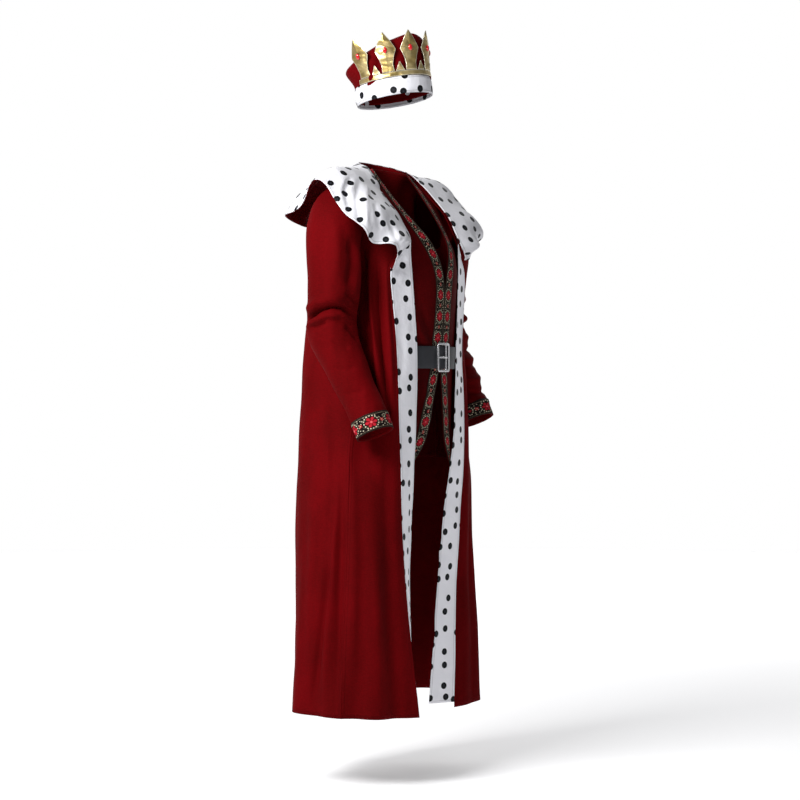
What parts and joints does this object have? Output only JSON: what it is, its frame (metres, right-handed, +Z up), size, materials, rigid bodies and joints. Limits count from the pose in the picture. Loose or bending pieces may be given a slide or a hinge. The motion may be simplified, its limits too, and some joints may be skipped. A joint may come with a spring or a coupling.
{
  "type": "medieval king costume",
  "caption": "Royal stage costume in worn form: open velvet robe with dotted satin bands and cape collar, waistcoat, buckled belt and crown hat.",
  "frame": {"origin": "middle of the wearer's neck at the height of the collar, where the robe hangs from the shoulders; the wearer's floor is 1.54 m below", "axes": "+Z up, the front faces -Y, the wearer's right side is at -X"},
  "size_m": [0.668, 0.4152, 1.7295],
  "materials": {
    "robe_velvet": "short-pile wine red velvet",
    "waistcoat_velvet": "short-pile wine red velvet",
    "cap_velvet": "short-pile wine red velvet",
    "collar_lining": "plain wine red cloth",
    "dotted_satin": "white satin with black printed dots",
    "woven_trim": "jacquard ribbon with red rosettes on dark grey",
    "belt_leather": "matte black imitation leather",
    "buckle_metal": "bright silver",
    "gold_lame": "creased gold metallic cloth over a stiff backing",
    "red_stone": "gloss"
  },
  "bodies": {
    "root": {"robe_back": "robe_velvet", "robe_front_right": "robe_velvet", "front_band_right": "dotted_satin", "robe_front_left": "robe_velvet", "front_band_left": "dotted_satin", "sleeve_right": "robe_velvet", "cuff_right": "woven_trim", "sleeve_left": "robe_velvet", "cuff_left": "woven_trim", "cape_top": "dotted_satin", "cape_lining": "collar_lining", "vest_back": "waistcoat_velvet", "vest_trim_back": "woven_trim", "vest_front_right": "waistcoat_velvet", "vest_trim_right": "woven_trim", "vest_front_left": "waistcoat_velvet", "vest_trim_left": "woven_trim", "belt_strap": "belt_leather", "belt_tongue": "belt_leather", "buckle_frame": "buckle_metal", "buckle_prong": "buckle_metal", "hat_band": "dotted_satin", "hat_cap": "cap_velvet", "crown_strip": "gold_lame", "crown_point_1": "gold_lame", "gem_1": "red_stone", "crown_point_2": "gold_lame", "gem_2": "red_stone", "crown_peak_1": "gold_lame", "crown_point_3": "gold_lame", "gem_3": "red_stone", "crown_peak_2": "gold_lame", "crown_point_4": "gold_lame", "gem_4": "red_stone", "crown_peak_3": "gold_lame", "crown_point_5": "gold_lame", "gem_5": "red_stone", "crown_peak_4": "gold_lame", "crown_point_6": "gold_lame", "gem_6": "red_stone", "crown_peak_5": "gold_lame", "crown_point_7": "gold_lame", "gem_7": "red_stone", "crown_peak_6": "gold_lame"}
  },
  "joints": []
}
